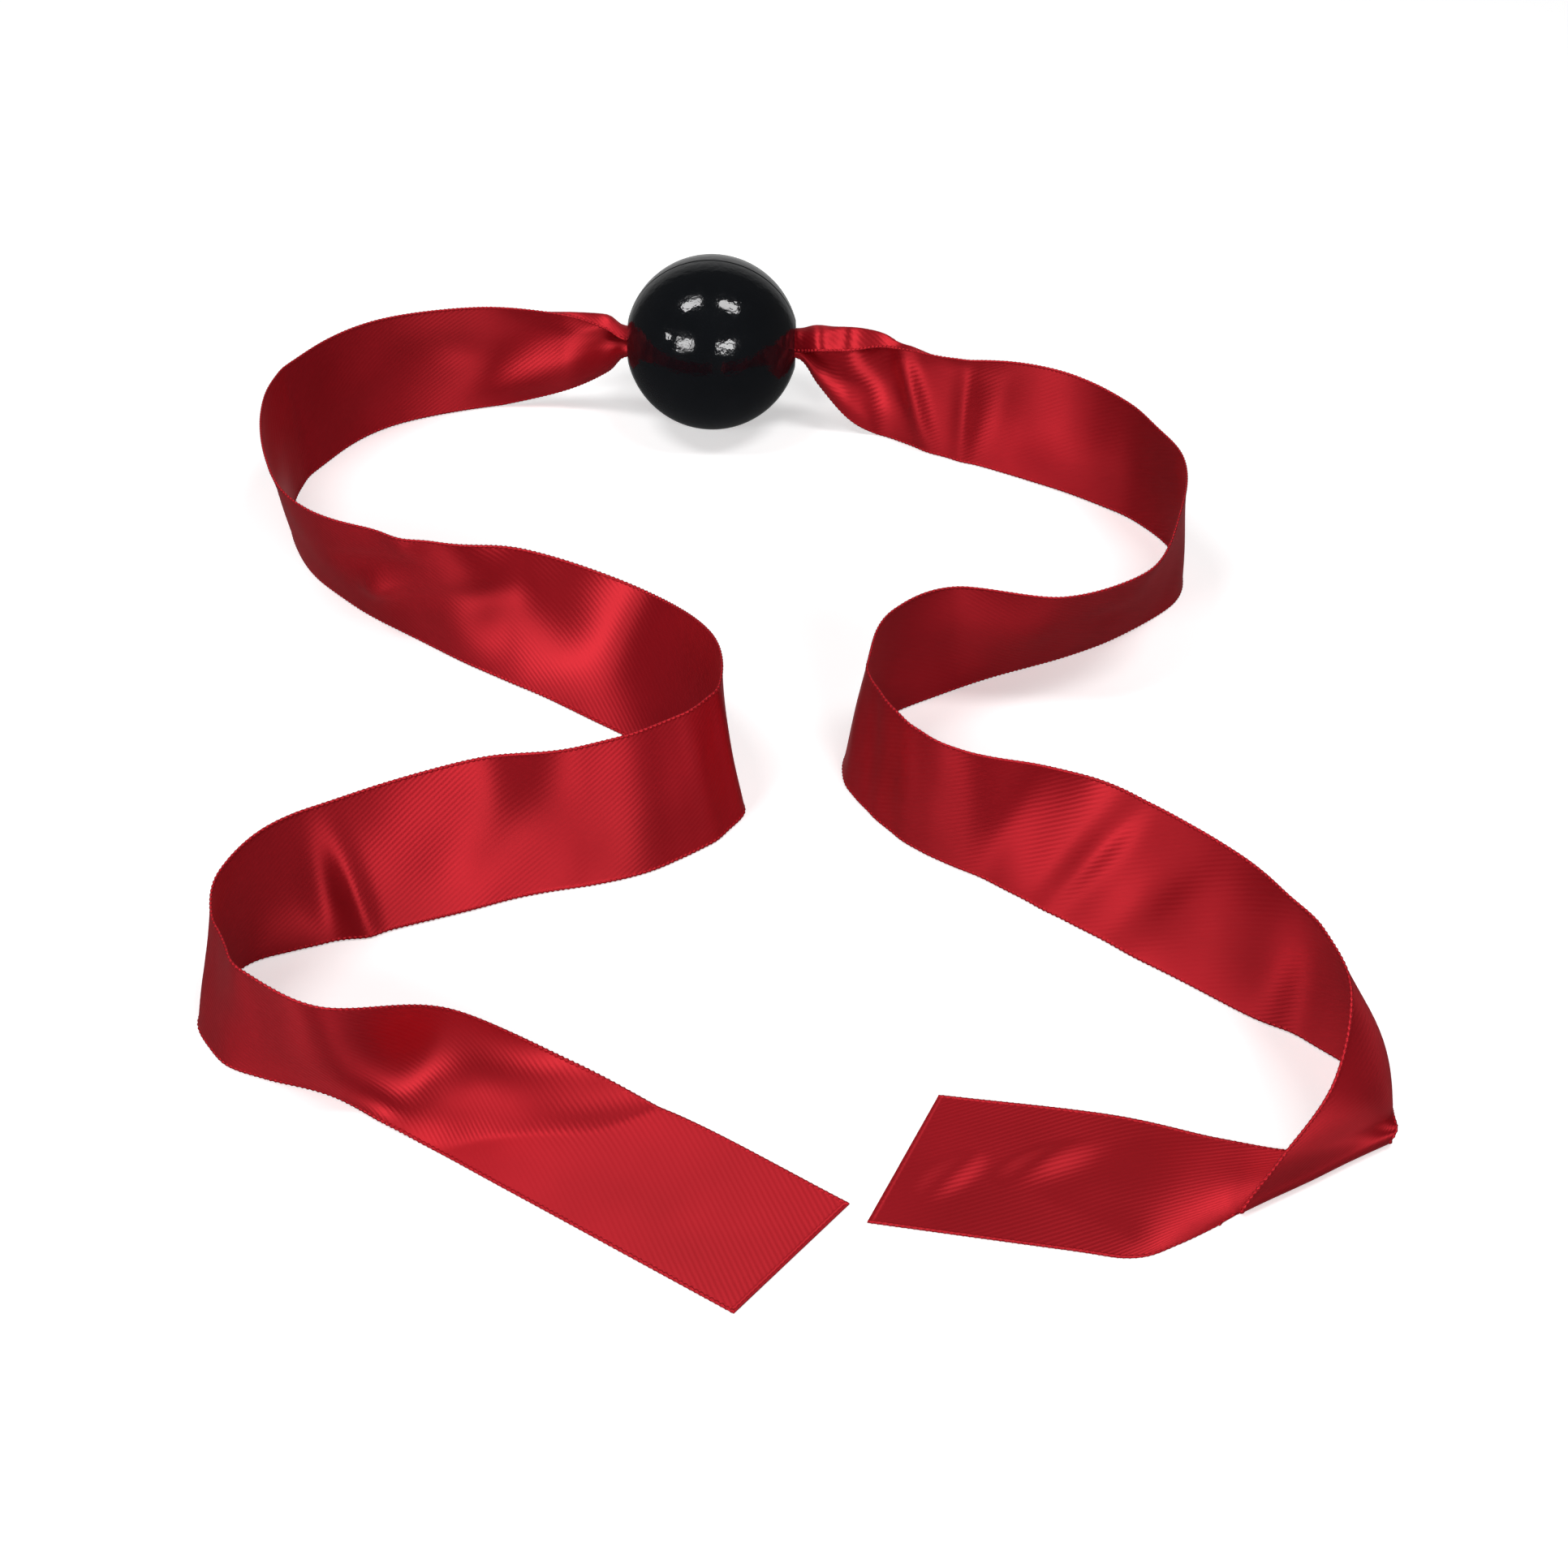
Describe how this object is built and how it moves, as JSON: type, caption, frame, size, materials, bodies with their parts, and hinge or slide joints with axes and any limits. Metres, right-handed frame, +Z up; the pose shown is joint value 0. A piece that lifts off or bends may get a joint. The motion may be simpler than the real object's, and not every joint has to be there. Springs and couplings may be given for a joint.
{
  "type": "ball threaded on a ribbon",
  "caption": "Glossy moulded ball threaded on one long satin ribbon that is gathered through its bore and lies in loose standing curves on both sides, ending in flat cut tails.",
  "frame": {"origin": "middle of the whole part's outline in plan, on the surface that it lies on", "axes": "+Z up; the ball is at the +Y end, the two cut tails at the -Y end, and the left tail on the -X side"},
  "size_m": [0.2407, 0.3175, 0.045],
  "materials": {
    "ball": "glossy black moulded plastic with a faint orange peel",
    "ribbon": "red satin with a fine twill line and stitched selvedges"
  },
  "bodies": {
    "ribbon": {"ribbon_core": "ribbon", "left_gather": "ribbon", "left_reach_1": "ribbon", "left_bend_1a": "ribbon", "left_bend_1b": "ribbon", "left_reach_2a": "ribbon", "left_reach_2b": "ribbon", "left_bend_2a": "ribbon", "left_bend_2b": "ribbon", "left_reach_3": "ribbon", "left_bend_3a": "ribbon", "left_bend_3b": "ribbon", "left_turn_a": "ribbon", "left_turn_b": "ribbon", "left_tail": "ribbon", "right_gather": "ribbon", "right_reach_1": "ribbon", "right_bend_1a": "ribbon", "right_bend_1b": "ribbon", "right_bend_1c": "ribbon", "right_reach_2": "ribbon", "right_bend_2a": "ribbon", "right_bend_2b": "ribbon", "right_reach_3a": "ribbon", "right_reach_3b": "ribbon", "right_bend_3": "ribbon", "right_flap": "ribbon", "right_fold": "ribbon", "right_tail": "ribbon"},
    "ball": {"shell_front": "ball", "shell_back": "ball"}
  },
  "joints": [
    {"name": "ball_spin", "type": "hinge", "parent": "ribbon", "child": "ball", "pos_m": [-0.011, 0.136, 0.0225], "axis": [0.9994, -0.0349, 0], "continuous": true}
  ]
}
